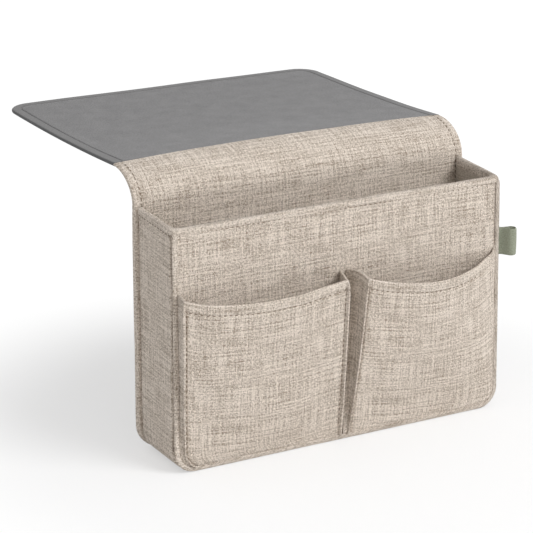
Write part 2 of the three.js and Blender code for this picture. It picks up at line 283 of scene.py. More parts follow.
def suede():
    """Soft grey faux suede: a short nap in drifting tones, with a fine grain."""
    nodes = Surface("suede", 0.85, 0.2)
    place = nodes.add("UVMap", uv_map="cloth").outputs[0]
    edge = nodes.add("Attribute", attribute_name="edge").outputs["Fac"]
    nap = nodes.noise(place, 60.0, 5.0, 0.65)
    grain = nodes.noise(place, 750.0, 4.0, 0.7)
    light = nodes.ramp(nodes.times(grain, 0.9, nodes.math("MULTIPLY", nap, 0.3)), 0.42, 0.78)
    face = nodes.mix(light, SUEDE_DARK, SUEDE_PALE)
    strip = nodes.mix(light, SUEDE_STRIP_DARK, SUEDE_STRIP_PALE)
    within = nodes.ramp(edge, FLAP_GROOVE_INSET - 0.4 * MM, FLAP_GROOVE_INSET + 0.2 * MM)
    # Painted shade: the rounded edge of the flap, which turns away from the light, is coloured darker
    flat = nodes.ramp(edge, 0.2 * MM, 1.5 * MM)
    colour = nodes.mix(flat, SUEDE_EDGE_SHADE, nodes.mix(within, strip, face))
    return nodes.finish(colour, grain, 0.2 * MM, 0.8)


def greyboard():
    """Pressed pulp board, flecked and slightly rough."""
    nodes = Surface("greyboard", 0.9)
    place = nodes.add("NewGeometry").outputs["Position"]
    fleck = nodes.noise(place, 700.0, 3.0, 0.6)
    total = nodes.times(nodes.noise(place, 60.0), 0.4, nodes.math("MULTIPLY", fleck, 0.6))
    colour = nodes.mix(nodes.ramp(total, 0.35, 0.65), BOARD_DARK, BOARD_PALE)
    return nodes.finish(colour, fleck, 0.1 * MM, 0.5)


def thread():
    """Twisted sewing thread, dark partly by its own colour and partly by painted shade of the sunk stitches.
    """
    nodes = Surface("thread", 0.7, 0.2)
    strand = nodes.noise(nodes.add("NewGeometry").outputs["Position"], 2600.0)
    dark, pale = [tuple(min(c * tone, 1.0) for c in THREAD_AND_HOLE_SHADE_COLOUR) for tone in (0.7, 1.15)]
    return nodes.finish(nodes.mix(nodes.ramp(strand, 0.35, 0.65), dark, pale), strand, 0.1 * MM, 0.6)


LINEN = woven("linen", LINEN_PALE, LINEN_DARK, 0.95 * MM)
LINING = woven("lining", LINING_SHADED_PALE, LINING_SHADED_DARK, 0.8 * MM, slub=0.8)
GRIP = woven("grip_cloth", GRIP_PALE, GRIP_DARK, 1.6 * MM, slub=0.3)
WEBBING = woven("webbing", SAGE_PALE, SAGE_DARK, 0.7 * MM, slub=0.4)
SUEDE = suede()
GREYBOARD = greyboard()
THREAD = thread()


# Mesh helpers
def spread(start, end, step):
    """Even values from start to end, about a step apart."""
    count = max(1, round(abs(end - start) / step))
    return [start + (end - start) * i / count for i in range(count + 1)]


def merged(values, least=0.15 * MM):
    """The values in order, without those that lie on the one before."""
    kept = []
    for value in sorted(values):
        if not kept or value - kept[-1] > least:
            kept.append(value)
    return kept


def running(points):
    total, lengths = 0.0, [0.0]
    for a, b in zip(points, points[1:]):
        total += (b - a).length
        lengths.append(total)
    return lengths


def mesh_object(name, vertices, faces, corners, material):
    """A mesh with its UV map in metres, one pair of corners for each corner of each face."""
    mesh = bpy.data.meshes.new(name)
    mesh.from_pydata(vertices, [], faces)
    layer = mesh.uv_layers.new(name="cloth")
    layer.data.foreach_set("uv", [value for face in corners for pair in face for value in pair])
    mesh.shade_smooth()
    mesh.set_sharp_from_angle(angle=radians(50))
    mesh.materials.append(material)
    obj = bpy.data.objects.new(name, mesh)
    bpy.context.scene.collection.objects.link(obj)
    return obj


def loft(name, rings, material, middle=(0, 0), turned=False):
    """Closed body through closed rings of points, all of one even length, with flat ends.
    The cloth's coordinates are counted from the middle (ring, point); turned swaps them."""
    count, last = len(rings[0]), len(rings) - 1
    around = [running([*ring, ring[0]]) for ring in rings]
    along = [running([ring[i % count] for ring in rings]) for i in range(count + 1)]

    def at(k, i):
        u = around[k][i] - around[k][middle[1]]
        v = along[i][k] - along[i][middle[0]]
        return (v, u) if turned else (u, v)

    quads = [[(k, i), (k, i + 1), (k + 1, i + 1), (k + 1, i)] for k in range(last) for i in range(count)]
    for i in range(count // 2 - 1):
        a, b = i, count - 1 - i
        quads.append([(0, a + 1), (0, a), (0, b), (0, b - 1)])
        quads.append([(last, a), (last, a + 1), (last, b - 1), (last, b)])
    vertices = [point for ring in rings for point in ring]

    def volume():
        total = 0.0
        for quad in quads:
            p = [vertices[k * count + i % count] for k, i in quad]
            total += p[0].dot(p[1].cross(p[2])) + p[0].dot(p[2].cross(p[3]))
        return total

    if volume() < 0:
        quads = [quad[::-1] for quad in quads]
    faces = [[k * count + i % count for k, i in quad] for quad in quads]
    corners = [[at(k, i) for k, i in quad] for quad in quads]
    return mesh_object(name, vertices, faces, corners, material)


# The box is a little wider at its foot than at its rim
FOOT_FLARE = 0.012


def flared(piece):
    """Widens a piece of the box evenly from the rim down to its foot."""
    for vertex in piece.data.vertices:
        vertex.co.x *= 1 + FOOT_FLARE * (1 - min(vertex.co.z, FRONT_RIM) / FRONT_RIM)
    return piece


def clamp(share):
    return min(max(share, 0.0), 1.0)


def ease(share):
    """0 to 1 with a soft start and end, for a share from 0 to 1."""
    share = clamp(share)
    return share * share * (3 - 2 * share)


def dip(distance, depth=GROOVE_DEPTH, width=GROOVE_WIDTH):
    """Depth of a sewn groove at a distance from its line."""
    return depth * exp(-((distance / width) ** 2))


def drift(point, *waves):
    """Slow unevenness of cloth over board, from waves of (size, how far they stand out at most)."""
    return sum(noise.noise(point / size) * amount for size, amount in waves)


STITCH_SIDES, STITCH_RINGS = 6, 7
STITCH_BOW = 2.2


def stitches(name, rows):
    """Thread along rows of (point, outward normal): each stitch is a short bowed bead with sunk ends."""
    vertices, faces = [], []
    sides = STITCH_SIDES
    for row in rows:
        points = [point for point, _ in row]
        lengths = running(points)
        at, k = STITCH_PITCH / 2, 0
        while at < lengths[-1] - STITCH_PITCH / 2:
            while lengths[k + 1] < at:
                k += 1
            share = (at - lengths[k]) / (lengths[k + 1] - lengths[k])
            centre = points[k].lerp(points[k + 1], share)
            outward = row[k][1].lerp(row[k + 1][1], share).normalized()
            forward = (points[k + 1] - points[k]).normalized()
            side = forward.cross(outward).normalized()
            base = len(vertices)
            for ring in range(STITCH_RINGS):
                t = 2 * ring / (STITCH_RINGS - 1) - 1
                radius = THREAD_RADIUS * sqrt(max(1 - t ** 4, 0.05))
                rise = THREAD_RADIUS * (1 - STITCH_BOW * t * t)
                heart = centre + forward * (t * STITCH_LENGTH / 2) + outward * rise
                for corner in range(sides):
                    angle = 2 * pi * corner / sides
                    vertices.append(heart + (side * cos(angle) + outward * sin(angle)) * radius)
            end = len(vertices) - sides
            for a in range(base, end, sides):
                for corner in range(sides):
                    b = a + (corner + 1) % sides
                    faces.append((a + corner, a + corner + sides, b + sides, b))
            faces += [tuple(range(base, base + sides)), tuple(reversed(range(end, end + sides)))]
            at += STITCH_PITCH
    corners = [[(0.0, 0.0)] * len(face) for face in faces]
    return mesh_object(name, vertices, faces, corners, THREAD)


# Even steps across and along a cloth, and its finer steps in from an edge
CLOTH_STEP = 7 * MM
ROW_STEP = 6 * MM
LINING_STEP = 10 * MM
EDGE_STEPS = mm(0, 0.15, 0.4, 0.8, 1.3, 1.9, 2.6)

# Back cloth: linen over the back panel's board, over the bend and up to the flap
BAND_STITCH_INSET = 7 * MM
BAND_STITCH_SIDE = 3 * MM
EDGE_ROUND = 2.6 * MM
EDGE_FLAT = 0.8 * MM
EDGE_PROUD = 1.0 * MM
EDGE_PROUD_START = 0.5 * MM
BAND_OVERLAP = 0.5 * MM
BOTTOM_ROUND = 2.0 * MM
CROWN = 2.5 * MM
BEND_STEPS = 30
BACK_DRIFT = (45 * MM, 0.35 * MM)


def crown(x, share):
    """How far the cloth stands up at a place across it. The share is 1 where the linen meets the flap."""
    return CROWN * (1 - (x / HALF_BACK) ** 2) * ease(share)


def back_half_width(z):
    """Half the back panel's width at a height, with its rounded lower corners."""
    if z >= BACK_CORNER:
        return HALF_BACK
    return HALF_BACK - BACK_CORNER + sqrt(BACK_CORNER ** 2 - (BACK_CORNER - z) ** 2)


def back_stations():
    """Stations from the bottom of the back panel to the flap: (point on the front face, its normal, half
    width, half thickness, how far the side edge bulges, share of the crown)."""
    stations = []
    half = PANEL_THICKNESS / 2
    low = [BACK_CORNER * (1 - cos(radians(a))) for a in range(0, 91, 6)]
    for z in merged(low + spread(BACK_CORNER, BACK_RIM, CLOTH_STEP)):
        fold = max(sqrt(1 - (1 - min(z / BOTTOM_ROUND, 1.0)) ** 2), 0.15)
        point = Vector((0, BACK_FACE + half * (1 - fold), z))
        stations.append((point, Vector((0, -1, 0)), back_half_width(z), half * fold, EDGE_PROUD * fold, 0.0))
    for step in range(1, BEND_STEPS + 1):
        share = step / BEND_STEPS
        c, s = cos(share * pi / 2), sin(share * pi / 2)
        normal = Vector((0, -c / BEND_REACH, s / BEND_RISE)).normalized()
        point = Vector((0, FLAP_NEAR - BEND_REACH * c, BACK_RIM + BEND_RISE * s))
        thick = half + (FLAP_THICKNESS / 2 - half) * share
        stations.append((point, normal, HALF_BACK, thick, EDGE_PROUD * (1 - share) * 0.6, share))
    point, *others = stations[-1]
    return stations + [(point + Vector((0, BAND_OVERLAP, 0)), *others)]


def back_section(width, half, proud):
    """Closed section as (across, depth below the face): the face, the round side edges and the rear."""
    inner = width - BAND_STITCH_INSET
    full = HALF_BACK - BAND_STITCH_INSET - BAND_STITCH_SIDE
    middle = [x * (inner - BAND_STITCH_SIDE) / full for x in spread(-full, full, CLOTH_STEP)]
    edge = width - EDGE_ROUND - EDGE_FLAT
    strips = [-inner - d for d in reversed(GROOVE_SAMPLES)], [inner + d for d in GROOVE_SAMPLES]
    face = [-edge, *strips[0], *middle, *strips[1], edge]

    def bulge(x):
        return proud * ease((abs(x) - inner - EDGE_PROUD_START) / (BAND_STITCH_INSET - EDGE_ROUND))

    turn = [radians(a) for a in range(12, 180, 12)]
    tall = half + proud
    right = [(width - EDGE_ROUND + EDGE_ROUND * sin(a), half - tall * cos(a)) for a in turn]
    front = [(x, dip(abs(x) - inner) - bulge(x)) for x in face]
    rear = [(x, 2 * half + bulge(x)) for x in reversed(face)]
    return front + right + rear + [(-x, d) for x, d in reversed(right)]


def add_back_cloth():
    rings = []
    for point, normal, width, half, proud, share in back_stations():
        ring = []
        for across, depth in back_section(width, half, proud):
            place = point + Vector((across, 0, 0)) + normal * (crown(across, share) - depth)
            if depth < half:
                place += normal * drift(place, BACK_DRIFT)
            ring.append(place)
        rings.append(ring)
    section = back_section(HALF_BACK, PANEL_THICKNESS / 2, EDGE_PROUD)
    centre = min(range(len(section) // 2), key=lambda i: abs(section[i][0]))
    cloth = loft("back_cloth", rings, LINEN, middle=(20, centre))
    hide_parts("back_panel_front_skin", "bend_skin")
    return cloth


# Tape that binds the back panel's edge
TAPE_PROUD_FRONT, TAPE_PROUD_REAR = 1.3 * MM, 1.2 * MM
TAPE_ROUND = 2.2 * MM
TAPE_WIDTH, TAPE_INNER_WIDTH = 4.4 * MM, 4.8 * MM
TAPE_CLOTH, TAPE_EDGE = 1.2 * MM, 0.2 * MM
# How far the last ring at each end of the tape is drawn in, and the one before it
TAPE_TUCKS = (0.8 * MM, 0.15 * MM)
TAPE_TUCK_NARROWING = 40.0
TAPE_TUCK_LIFT = 0.6 * MM
TAPE_TOP_GAP = 0.3 * MM
TAPE_DRIFTS = (12 * MM, 0.2 * MM), (45 * MM, 0.3 * MM)
TAPE_DRIFT_LIMIT = 0.1 * MM
TAPE_STATIONS = (5 * MM, 18, 8 * MM)


def back_binding_section():
    """(y, inset) round the folded tape that binds the back panel's edge."""
    low, high = BACK_FACE - TAPE_PROUD_FRONT, REAR + TAPE_PROUD_REAR
    radius = TAPE_ROUND
    turn = [radians(a) for a in range(0, 91, 15)]
    section = [(low + radius - radius * cos(a), radius - radius * sin(a)) for a in turn]
    section += [(high - radius + radius * sin(a), radius - radius * cos(a)) for a in turn]
    section += [(high - TAPE_EDGE, TAPE_WIDTH), (high - TAPE_CLOTH, TAPE_INNER_WIDTH)]
    return section + [(low + TAPE_CLOTH, TAPE_INNER_WIDTH), (low + TAPE_EDGE, TAPE_WIDTH)]


def add_back_binding():
    rings = []
    stations = outline_stations(*TAPE_STATIONS)
    middle = (BACK_FACE + REAR) / 2
    for k, station in enumerate(stations):
        ring = []
        end = min(k, len(stations) - 1 - k)
        tuck = TAPE_TUCKS[end] if end < 2 else 0.0
        for y, inset in back_binding_section():
            y = middle + (y - middle) * (1 - TAPE_TUCK_NARROWING * tuck)
            place, out = outline_point(station, y, inset + tuck, TAPE_TOP_GAP, HALF_BACK, BACK_CORNER)
            if end == 0:
                place.z += TAPE_TUCK_LIFT
            place += out * min(drift(place, *TAPE_DRIFTS), TAPE_DRIFT_LIMIT)
            place.z = max(place.z, 0.0)
            ring.append(place)
        rings.append(ring)
    binding = loft("back_binding", rings, LINEN)
    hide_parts("back_seam_binding")
    return binding


def band_stitch_rows():
    rows = []
    for side in (-1, 1):
        row = []
        for point, normal, width, _, _, share in back_stations()[:-2]:
            if point.z > BACK_CORNER:
                across = side * (width - BAND_STITCH_INSET)
                rise = crown(across, share) - GROOVE_DEPTH
                row.append((point + Vector((across, 0, 0)) + normal * rise, normal))
        rows.append(row)
    return rows


# Lining over the rear of the back panel and the underside of the bend
LINING_INSET = 5.5 * MM
LINING_FADE = 4 * MM
LINING_SINK = 0.1 * MM
BACK_LINING_DRIFT = (40 * MM, 0.2 * MM)


def add_back_lining():
    rings = []
    for point, normal, width, half, _, share in back_stations():
        if point.z < LINING_INSET / 2:
            continue
        reach = width - LINING_INSET
        near, far = [], []
        for x in (x * reach for x in spread(-1.0, 1.0, LINING_STEP / HALF_BACK)):
            rear = crown(x, share) - 2 * half
            near.append(point + Vector((x, 0, 0)) + normal * (rear + LINING_SINK))
            place = point + Vector((x, 0, 0)) + normal * (rear - LINING_CLOTH)
            soft = drift(place, BACK_LINING_DRIFT)
            far.append(place - normal * soft * min(1.0, (reach - abs(x)) / LINING_FADE))
        rings.append(near + far[::-1])
    lining = loft("back_lining", rings, LINING, middle=(20, len(rings[0]) // 4))
    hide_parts("back_panel_rear_skin", "bend_lining")
    return lining


# Walls: the gusset's outer cloth runs down the left side, under the bottom and up the right side
SEAM_INSET = 2.8 * MM
SEAM_BACK = 2.8 * MM
WALL_CLOTH_INNER = 3.25 * MM
VALLEY = 2.1 * MM
CLOTH_TOP_GAP = 4 * MM
WALL_EDGE_INSET = 2.4 * MM
WALL_EDGE_BACK = 4.4 * MM
WALL_FRONT_ROUND, WALL_BACK_ROUND = 2.2 * MM, 2.0 * MM
WALL_BACK_PROUD = 0.9 * MM
WALL_STEP, WALL_LAST_EDGE_STEP = 5 * MM, 3.4 * MM
WALL_DRIFT = (40 * MM, 0.5 * MM)
WALL_SINK = 0.2 * MM
WALL_LINING_SINK = 0.1 * MM
WALL_LINING_DRIFT = (35 * MM, 0.25 * MM)


def stations_round(sides, turns, middles):
    """(kind, side, value) from the end of the left side, round two corners, to the end of the right side."""
    angles = [pi / 2 * i / turns for i in range(1, turns)]
    stations = [("side", -1, value) for value in reversed(sides)]
    stations += [("turn", -1, value) for value in reversed(angles)]
    stations += [("flat", 1, value) for value in middles]
    stations += [("turn", 1, value) for value in angles]
    return stations + [("side", 1, value) for value in sides]


def outline_stations(side_step=8 * MM, turns=12, bottom_step=10 * MM):
    """Stations along an outline, from the left rim under the bottom to the right rim."""
    sides = spread(0.0, 1.0, side_step / (FRONT_RIM - CORNER))
    return stations_round(sides, turns, spread(-1.0, 1.0, bottom_step / (HALF - CORNER)))


def outline_point(station, y, inset, top_gap=RIM_TAPE, half=HALF, corner=CORNER):
    """Point on an outline, drawn in by an inset, with the way out of the box there."""
    kind, side, value = station
    if kind == "flat":
        return Vector((value * (half - corner), y, inset)), Vector((0, 0, -1))
    if kind == "side":
        top = rim_height(y) - top_gap
        return Vector((side * (half - inset), y, corner + (top - corner) * value)), Vector((side, 0, 0))
    out = Vector((side * sin(value), 0, -cos(value)))
    return Vector((side * (half - corner), y, corner)) + out * (corner - inset), out


def quarter(distance, radius, depth):
    """How deep a rounded edge lies below its face at a distance from the edge."""
    if distance >= radius:
        return 0.0
    return depth * (1 - sqrt(1 - (1 - distance / radius) ** 2))


def wall_section():
    """(y, inset) round the gusset's cloth: the outer face from front to back, then the inner one."""
    front, back = FRONT + WALL_EDGE_BACK, WALL_BACK + WALL_BACK_PROUD
    near = [front + step for step in EDGE_STEPS + [WALL_LAST_EDGE_STEP]]
    far = [back - step for step in reversed(EDGE_STEPS)]
    ys = near + spread(near[-1] + WALL_STEP, far[0] - WALL_STEP, ROW_STEP) + far
    outer = []
    for y in ys:
        inset = quarter(y - front, WALL_FRONT_ROUND, WALL_EDGE_INSET)
        outer.append((y, inset + quarter(back - y, WALL_BACK_ROUND, VALLEY)))
    return outer + [(y, WALL_CLOTH_INNER) for y in reversed(ys)]


def add_wall_cloth():
    section = wall_section()
    outer_count = len(section) // 2
    rings = []
    for station in outline_stations():
        ring = []
        for i, (y, inset) in enumerate(section):
            place, out = outline_point(station, y, inset, CLOTH_TOP_GAP)
            if i < outer_count and out.z > -0.5:
                place += out * (drift(place, WALL_DRIFT) - WALL_SINK)
            ring.append(place)
        rings.append(ring)
    cloth = loft("wall_cloth", rings, LINEN, middle=(0, outer_count // 2))
    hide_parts("gusset_skin")
    return cloth


def add_wall_lining():
    front, back = INNER_FRONT - WALL_LINING_SINK, BACK_FACE - WALL_LINING_SINK
    ys = spread(front, back, CLOTH_STEP)
    rings = []
    for station in outline_stations():
        ring = [outline_point(station, y, WALL_CLOTH_INNER)[0] for y in ys]
        for y in reversed(ys):
            place, out = outline_point(station, y, WALL_THICKNESS)
            edge = min(1.0, min(y - front, back - y) / LINING_FADE)
            ring.append(place - out * drift(place, WALL_LINING_DRIFT) * edge)
        rings.append(ring)
    cloth = loft("wall_lining", rings, LINING, middle=(0, 4))
    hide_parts("gusset_lining")
    return cloth


# Front panel
PANEL_EDGE_ROUND = 2.4 * MM
PANEL_DRIFT = (50 * MM, 0.5 * MM)
PANEL_DRIFT_FADE = 8 * MM
PANEL_CLOTH_GAP, PANEL_LINING_GAP = 0.1 * MM, 0.05 * MM
FRONT_LINING_INSET = 0.8 * MM
FRONT_LINING_FOOT = 1.5 * MM
PANEL_FIRST_ROW = 0.02 * MM
PANEL_LOW_STEPS = mm(4, 6, 8, 10, 12, 14, 16, 18)


def panel_half_width(z, inset):
    """Half the front panel's width at a height, with its rounded lower corners."""
    if z >= CORNER:
        return HALF - inset
    reach = max((CORNER - inset) ** 2 - (CORNER - z) ** 2, 0.0)
    return HALF - CORNER + sqrt(reach)


def edge_distance(x, z, inset):
    """Distance from a point of the front to the nearest edge of the outline drawn in by an inset."""
    if z < CORNER and abs(x) > HALF - CORNER:
        return CORNER - inset - hypot(abs(x) - HALF + CORNER, CORNER - z)
    return min(HALF - inset - abs(x), z - inset)


def panel_rows():
    low = [SEAM_INSET + step for step in [PANEL_FIRST_ROW] + EDGE_STEPS[1:] + PANEL_LOW_STEPS]
    return merged(low + spread(low[-1], FRONT_RIM - CLOTH_TOP_GAP, CLOTH_STEP))


def panel_columns(width):
    edge = [width - step for step in EDGE_STEPS + PANEL_LOW_STEPS[:1]]
    middle = edge[-1] - ROW_STEP
    return [-x for x in edge] + spread(-middle, middle, CLOTH_STEP) + edge[::-1]


def add_front_panel():
    full = HALF - SEAM_INSET
    columns = panel_columns(full)
    rear = INNER_FRONT - LINING_CLOTH - PANEL_CLOTH_GAP
    rings = []
    for z in panel_rows():
        xs = [x * panel_half_width(z, SEAM_INSET) / full for x in columns]
        ring = []
        for x in xs:
            distance = max(edge_distance(x, z, SEAM_INSET), 0.0)
            place = Vector((x, FRONT + quarter(distance, PANEL_EDGE_ROUND, SEAM_BACK), z))
            soft = drift(place, PANEL_DRIFT) * min(1.0, distance / PANEL_DRIFT_FADE)
            ring.append(place - Vector((0, soft, 0)))
        rings.append(ring + [Vector((x, rear, z)) for x in reversed(xs)])
    cloth = loft("front_panel_cloth", rings, LINEN, middle=(len(rings) - 1, len(columns) // 2))
    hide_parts("front_panel_skin")
    return cloth


def add_front_lining():
    rings = []
    for z in panel_rows():
        if z < SEAM_INSET + FRONT_LINING_FOOT:
            continue
        width = panel_half_width(z, SEAM_INSET) - FRONT_LINING_INSET
        xs = spread(-width, width, 2 * width / 40)
        ring = [Vector((x, INNER_FRONT - LINING_CLOTH - PANEL_LINING_GAP, z)) for x in xs]
        rings.append(ring + [Vector((x, INNER_FRONT, z)) for x in reversed(xs)])
    cloth = loft("front_lining", rings, LINING, middle=(len(rings) - 1, 20))
    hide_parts("front_panel_lining")
    return cloth


# Boards of the box, drawn in at their upper corners so that they stay within the rounded rim
BOARD_DRAW_IN = 12 * MM


def add_board(name, narrowed):
    """The board of a CAD node, narrowed on its upper half."""
    board = bpy.data.objects.new(f"{name}_cut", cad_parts[name].data.copy())
    bpy.context.scene.collection.objects.link(board)
    for vertex in board.data.vertices:
        if vertex.co.z > FRONT_RIM / 2:
            vertex.co = narrowed(vertex.co)
    board.data.materials.clear()
    board.data.materials.append(GREYBOARD)
    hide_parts(name)
    return board


def narrow_front(place):
    reach = HALF - BOARD_DRAW_IN
    return Vector((min(max(place.x, -reach), reach), place.y, place.z))


def narrow_side(place):
    return Vector((place.x, max(place.y, FRONT + BOARD_DRAW_IN), place.z))


# Front welt: the seam allowance stands out sideways all round the front and is sewn through
WELT_LENGTH = 4.2 * MM
WELT_THICKNESS = 2.2 * MM
WELT_TIP_INSET = 0.2 * MM
WELT_TIP_BACK = 0.2 * MM
WELT_LEAN = radians(-12)
WELT_TAPER = 3 * MM
WELT_TOP_GAP = 2.2 * MM
WELT_SIDES = 20
WELT_STATIONS = (2.2 * MM, 28, 2.2 * MM)
WELT_WAVE = 6 * MM
WELT_PINCH = 0.1 * MM
WELT_DRIFT = (18 * MM, 0.15 * MM)


def welt_section(scale):
    """(y, inset) round the welt, a flat oval whose long axis points outward and leans to the front."""
    lean = cos(WELT_LEAN), sin(WELT_LEAN)
    half, thick = WELT_LENGTH / 2, WELT_THICKNESS / 2
    centre = (FRONT + WELT_TIP_BACK + half * lean[1], WELT_TIP_INSET + half * lean[0])
    points = []
    for i in range(WELT_SIDES):
        angle = 2 * pi * i / WELT_SIDES
        c, s = cos(angle), sin(angle)
        along = half * copysign(abs(c) ** 0.7, c) * scale
        wide = thick * copysign(abs(s) ** 0.8, s) * scale
        y = centre[0] - along * lean[1] + wide * lean[0]
        points.append((y, centre[1] - along * lean[0] - wide * lean[1]))
    return points


def add_front_welt():
    rings = []
    for station in outline_stations(*WELT_STATIONS):
        scale = 1.0
        if station[0] == "side":
            left = (1 - station[2]) * (FRONT_RIM - CORNER)
            scale = min(1.0, 0.35 + 0.65 * left / WELT_TAPER)
        ring = []
        for y, inset in welt_section(scale):
            place, out = outline_point(station, y, inset, WELT_TOP_GAP)
            wave = 1 + 0.5 * noise.noise(place / WELT_WAVE)
            pinch = WELT_PINCH * wave * sin(2 * pi * (place.x + place.z) / STITCH_PITCH)
            place = place - Vector((0, pinch, 0)) + out * drift(place, WELT_DRIFT)
            place.z = max(place.z, 0.0)
            ring.append(place)
        rings.append(ring)
    welt = loft("front_welt", rings, LINEN)
    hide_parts("front_seam_binding")
    return welt


# Rim fold: the hem over the top edges of the left side, the front and the right side
HEM_STITCH = 6.2 * MM
HEM_PROUD = 0.35 * MM
HEM_CLOTH = 0.7 * MM
RIM_TURN_INSIDE = 9.0 * MM
RIM_TURN_OUTSIDE = 2.0 * MM
RIM_HALF = 2.05 * MM
HEM_SAMPLES = mm(8.0, 7.4, 6.8, 6.2, 5.6, 5.0, 4.2, 3.2)
HEM_INNER_SAMPLES = mm(3.2, 4.6, 6, 7, 8.0)
HEM_STEP, HEM_STEP_START, HEM_STEP_RUN = 0.5 * MM, 5.2 * MM, 1.0 * MM
HEM_GROOVE = 0.6 * MM
HEM_STITCH_SINK = 0.75 * MM
HEM_LEAST = 0.2 * MM
RIM_STEP = 4 * MM
RIM_DRIFT = (14 * MM, 0.16 * MM)
RIM_HEIGHT_DRIFT = (30 * MM, 0.3 * MM)


def rim_stations():
    sides = spread(0.0, 1.0, RIM_STEP / (WALL_BACK - FRONT))
    return stations_round(sides, 10, spread(0.0, 1.0, RIM_STEP / (2 * HALF)))


def rim_path(station, radius):
    """Point of the rim's middle line in plan and its way out, with corners of a radius."""
    kind, side, value = station
    right, front = HALF - RIM_HALF, FRONT + RIM_HALF
    if kind == "side":
        y = front + radius + (WALL_BACK - front - radius) * value
        return Vector((side * right, y, 0)), Vector((side, 0, 0))
    if kind == "flat":
        return Vector(((radius - right) * (1 - 2 * value), front, 0)), Vector((0, -1, 0))
    out = Vector((side * sin(value), -cos(value), 0))
    return Vector((side * (right - radius), front + radius, 0)) + out * radius, out


def rim_section():
    """(out, depth below the rim) round the hem: down the outside, up inside it, and down within."""
    half = RIM_HALF + HEM_PROUD
    outside = []
    for depth in HEM_SAMPLES:
        sunk = HEM_STEP * clamp((depth - HEM_STEP_START) / HEM_STEP_RUN)
        outside.append((half - sunk - dip(depth - HEM_STITCH, HEM_GROOVE, HEM_GROOVE), depth))
    top = [(half * cos(a), half * (1 - sin(a))) for a in (pi * i / 12 for i in range(13))]
    shell = outside + top + [(-half, depth) for depth in HEM_INNER_SAMPLES]
    inner = [(copysign(max(abs(out) - HEM_CLOTH, HEM_LEAST), out), depth) for out, depth in shell]
    return shell + [(out, max(depth, RIM_TAPE * 0.8)) for out, depth in reversed(inner)]


def rim_place(station, out, depth):
    share = clamp(0.5 + out / (2 * (RIM_HALF + HEM_PROUD)))
    turn = RIM_TURN_INSIDE + (RIM_TURN_OUTSIDE - RIM_TURN_INSIDE) * share
    place, way = rim_path(station, turn)
    point = place + way * out
    point.z = rim_height(place.y) - depth
    return point, way


def add_rim_fold():
    rings = []
    for station in rim_stations():
        ring = []
        for out, depth in rim_section():
            place, way = rim_place(station, out, depth)
            rise = drift(place, RIM_HEIGHT_DRIFT)
            ring.append(place + way * drift(place, RIM_DRIFT) + Vector((0, 0, rise)))
        rings.append(ring)
    fold = loft("rim_fold", rings, LINEN, middle=(0, 12), turned=True)
    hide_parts("rim_binding")
    return fold


def rim_stitch_row():
    out = RIM_HALF + HEM_PROUD - HEM_STITCH_SINK
    return [rim_place(station, out, HEM_STITCH) for station in rim_stations()]


# Pockets, each rim point in shares of half the box's width, the pocket's depth and the pocket's height
POCKET_RIM_SHARES = {
    "left_pocket": [
        (-0.9933, 0, 1), (-0.9833, 0.517, 0.983), (-0.907, 0.645, 0.96), (-0.813, 0.805, 0.947),
        (-0.593, 0.902, 0.93), (-0.353, 0.9, 0.932), (-0.201, 0.87, 0.95), (-0.0547, 0.85, 0.963),
        (0.0053, 0, 0.96),
    ],
    "right_pocket": [
        (0.0213, 0, 0.961), (0.046, 0.43, 0.977), (0.063, 0.877, 0.952), (0.138, 0.93, 0.9285),
        (0.255, 0.98, 0.901), (0.37, 1, 0.882), (0.507, 0.968, 0.867), (0.64, 0.84, 0.867),
        (0.787, 0.57, 0.88), (0.88, 0.344, 0.9), (0.955, 0.166, 0.92), (0.9933, 0, 0.947),
    ],
}
# Which points of the rim are the folds where the pleats begin, counted from its start and from its end
POCKET_FOLDS = {"left_pocket": (1, -2), "right_pocket": (2, -4)}
# Which ends of the pocket's front, left (0) and right (1), have a sewn ridge
POCKET_RIDGES = {"left_pocket": (0.0, 1.0), "right_pocket": (0.0,)}
POCKET_FOOT = -1.0 * MM
POCKET_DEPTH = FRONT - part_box("right_pocket_panel")[0].y - POCKET_FOOT
POCKET_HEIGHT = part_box("left_pocket_left_pleat")[1].z
POCKET_BASE = 4.2 * MM
SEAM_LEAN = 2.2 * MM
POCKET_CLOTH = 1.3 * MM
POCKET_HEM_CLOTH = 2.3 * MM
POCKET_HEM = 7.6 * MM
BELLY_SHARE = 0.75
FOLD_FOOT = {"left_pocket": 5.5 * MM, "right_pocket": 4.5 * MM}
RIDGE_PROUD = 1.8 * MM
RIDGE_WIDTH = 0.75 * MM
RIDGE_FORWARD = {"left_pocket": 0.6, "right_pocket": 0.8}
COVER_ROUND = 3.5 * MM
COVER_DEPTH = 3.0 * MM
COVER_BLEND = 0.8 * MM
POCKET_EDGE_STITCH = 1.8 * MM
POCKET_EDGE_INSET = 3.9 * MM
RIDGE_GROOVE = {"left_pocket": 0.9 * MM, "right_pocket": 1.5 * MM}
RIDGE_GROOVE_WIDTH = 0.7 * MM
POCKET_CORNER_CALM = 18 * MM
POCKET_FOOT_CALM = 20 * MM
POCKET_RIM_CALM = 30 * MM
RIDGE_START = 6 * MM
POCKET_DRIFT = (55 * MM, 2.2 * MM)
POCKET_FINE_DRIFT = (24 * MM, 0.6 * MM)
POCKET_FINE_SHIFT = Vector((0.3, 0, 0))
HEM_GROOVE_DEPTH, HEM_GROOVE_WIDTH = 0.7 * MM, 0.8 * MM
POCKET_HEM_BLEND = 1.5 * MM
THREAD_SINK = 0.1 * MM
RIDGE_STITCH_START = 5 * MM
POCKET_ROW_START, POCKET_ROW_STEP = 12 * MM, 4 * MM
